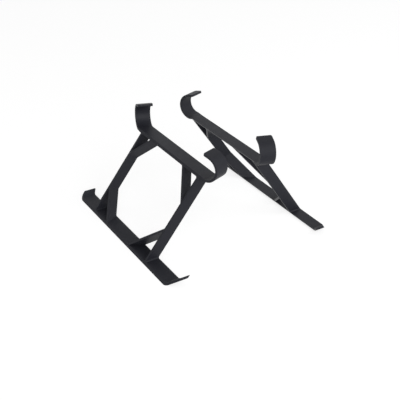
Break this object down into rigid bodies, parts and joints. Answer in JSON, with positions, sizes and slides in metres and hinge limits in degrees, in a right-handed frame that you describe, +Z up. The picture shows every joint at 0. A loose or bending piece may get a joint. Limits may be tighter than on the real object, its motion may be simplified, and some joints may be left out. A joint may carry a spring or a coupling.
{
  "type": "drone landing gear",
  "caption": "Clip-on landing gear for a small quadcopter: leaning leg frames with curled hooks for the arms, braced corners and skids with upturned tips.",
  "frame": {"origin": "on the ground, midway between the two leg frames and midway along their skids", "axes": "+X across the aircraft towards its right side, +Y towards its nose, +Z up"},
  "size_m": [0.128, 0.1244, 0.0703],
  "materials": {
    "moulded_plastic": "matte"
  },
  "bodies": {
    "root": {"left_leg_frame": "moulded_plastic", "right_leg_frame": "moulded_plastic"}
  },
  "joints": []
}
